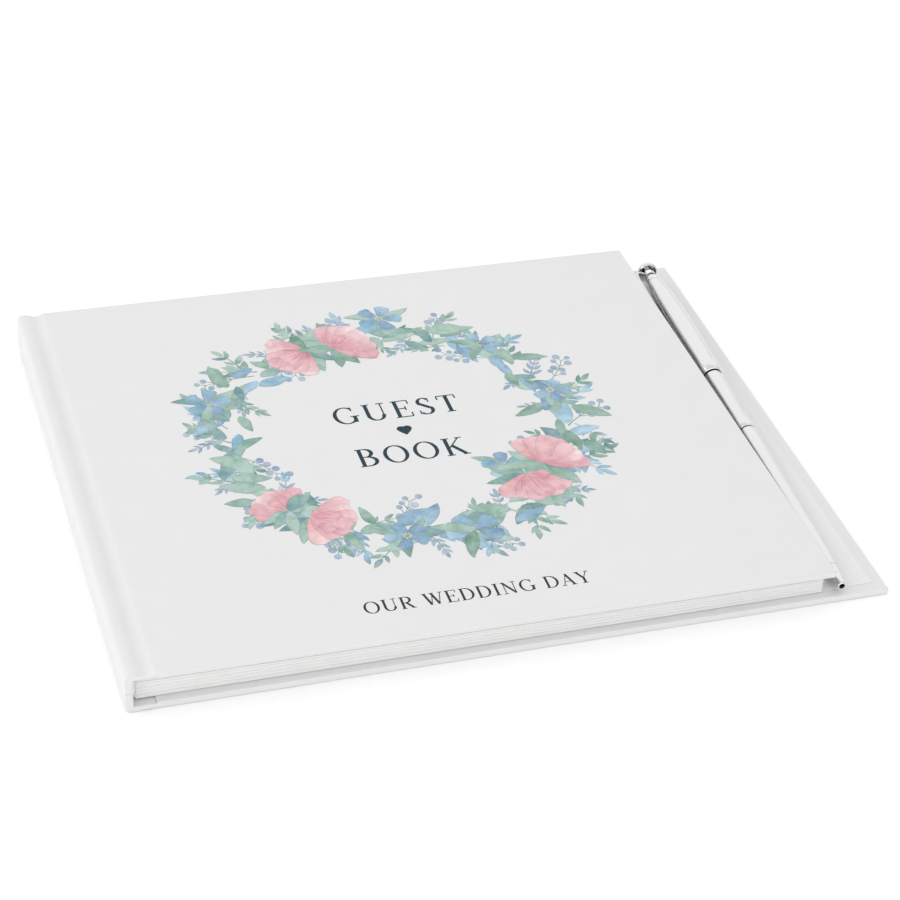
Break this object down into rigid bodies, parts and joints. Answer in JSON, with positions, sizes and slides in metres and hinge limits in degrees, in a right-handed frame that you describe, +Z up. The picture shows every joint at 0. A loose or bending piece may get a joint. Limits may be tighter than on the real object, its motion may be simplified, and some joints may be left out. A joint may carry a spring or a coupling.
{
  "type": "wedding guest book",
  "caption": "Slim landscape guest book in white laminated boards, its back cover wider than the block to form a ledge that carries a slim chrome twist pen.",
  "frame": {"origin": "under the centre of the closed book, on the surface it lies on", "axes": "+X along the width from the spine to the pen ledge, +Y from tail to head, +Z up out of the front cover"},
  "size_m": [0.18, 0.15, 0.0102],
  "materials": {
    "cover_board": "matt grey board",
    "cover_laminate": "white paper under a satin laminate",
    "endpaper": "uncoated white endpaper",
    "page_paper": "uncoated white writing paper",
    "spine_gauze": "gauze and paper lining under glue",
    "pen_chrome": "bright chrome plate",
    "mechanism_plastic": "natural acetal",
    "refill_brass": "turned brass",
    "refill_steel": "drawn metal tube"
  },
  "bodies": {
    "back_cover": {"back_board": "cover_board", "back_cover_wrap": "cover_laminate", "back_pastedown": "endpaper", "rear_joint_cloth": "cover_laminate"},
    "text_block": {"rear_flyleaf": "endpaper", "page_section_1": "page_paper", "page_section_2": "page_paper", "page_section_3": "page_paper", "page_section_4": "page_paper", "page_section_5": "page_paper", "page_section_6": "page_paper", "front_leaf_margins": "page_paper", "spine_lining": "spine_gauze", "spine_board": "cover_board", "spine_wrap": "cover_laminate", "front_joint_cloth": "cover_laminate"},
    "front_cover": {"front_board": "cover_board", "front_cover_wrap": "cover_laminate", "front_pastedown": "endpaper"},
    "flyleaf": {"front_flyleaf": "endpaper"},
    "first_leaf": {"leaf_1": "page_paper"},
    "second_leaf": {"leaf_2": "page_paper"},
    "third_leaf": {"leaf_3": "page_paper"},
    "pen": {"pen_upper_barrel": "pen_chrome", "pen_collar": "pen_chrome", "pen_crown": "pen_chrome", "pen_twist_mechanism": "mechanism_plastic"},
    "pen_clip": {"pen_clip": "pen_chrome"},
    "pen_grip": {"pen_centre_sleeve": "pen_chrome", "pen_lower_barrel": "pen_chrome", "pen_nose_tip": "pen_chrome"},
    "pen_refill": {"refill_tip": "refill_brass", "refill_tube": "refill_steel", "refill_plug": "mechanism_plastic"}
  },
  "joints": [
    {"name": "text_block_hinge", "type": "hinge", "parent": "back_cover", "child": "text_block", "pos_m": [-0.0878, 0, 0.0022], "axis": [0, 1, 0], "range_deg": [-90, 0], "deforming": ["rear_joint_cloth"]},
    {"name": "front_cover_hinge", "type": "hinge", "parent": "text_block", "child": "front_cover", "pos_m": [-0.0878, 0, 0.008], "axis": [0, -1, 0], "range_deg": [0, 179], "deforming": ["front_joint_cloth"]},
    {"name": "flyleaf_turn", "type": "hinge", "parent": "text_block", "child": "flyleaf", "pos_m": [-0.082, 0, 0.00826], "axis": [0, -1, 0], "range_deg": [0, 157.6]},
    {"name": "leaf_1_turn", "type": "hinge", "parent": "text_block", "child": "first_leaf", "pos_m": [-0.082, 0, 0.00826], "axis": [0, -1, 0], "range_deg": [0, 144.1]},
    {"name": "leaf_2_turn", "type": "hinge", "parent": "text_block", "child": "second_leaf", "pos_m": [-0.082, 0, 0.00826], "axis": [0, -1, 0], "range_deg": [0, 126.1]},
    {"name": "leaf_3_turn", "type": "hinge", "parent": "text_block", "child": "third_leaf", "pos_m": [-0.082, 0, 0.00826], "axis": [0, -1, 0], "range_deg": [0, 104.5]},
    {"name": "pen_lift", "type": "slide", "parent": "back_cover", "child": "pen", "axis": [0, 0, 1], "range_m": [0, 0.06]},
    {"name": "pen_twist", "type": "hinge", "parent": "pen", "child": "pen_grip", "pos_m": [0.08048, 0.01437, 0.00493], "axis": [0.0246, 0.9996, 0.0127], "range_deg": [0, 120.1]},
    {"name": "refill_advance", "type": "slide", "parent": "pen_grip", "child": "pen_refill", "axis": [-0.0246, -0.9996, -0.0127], "range_m": [0, 0.0042]},
    {"name": "pen_clip_flex", "type": "hinge", "parent": "pen", "child": "pen_clip", "pos_m": [0.0817, 0.06405, 0.00556], "axis": [0.0003, 0.0127, -0.9999], "range_deg": [0, 2.5], "stiffness_Nm_per_rad": 0.05}
  ],
  "couplings": [
    {"joint": "flyleaf_turn", "follows": "front_cover_hinge", "ratio": 0.875},
    {"joint": "leaf_1_turn", "follows": "front_cover_hinge", "ratio": 0.8},
    {"joint": "leaf_2_turn", "follows": "front_cover_hinge", "ratio": 0.7},
    {"joint": "leaf_3_turn", "follows": "front_cover_hinge", "ratio": 0.58},
    {"joint": "pen_twist", "follows": "refill_advance", "rad_per_m": 498.67}
  ]
}
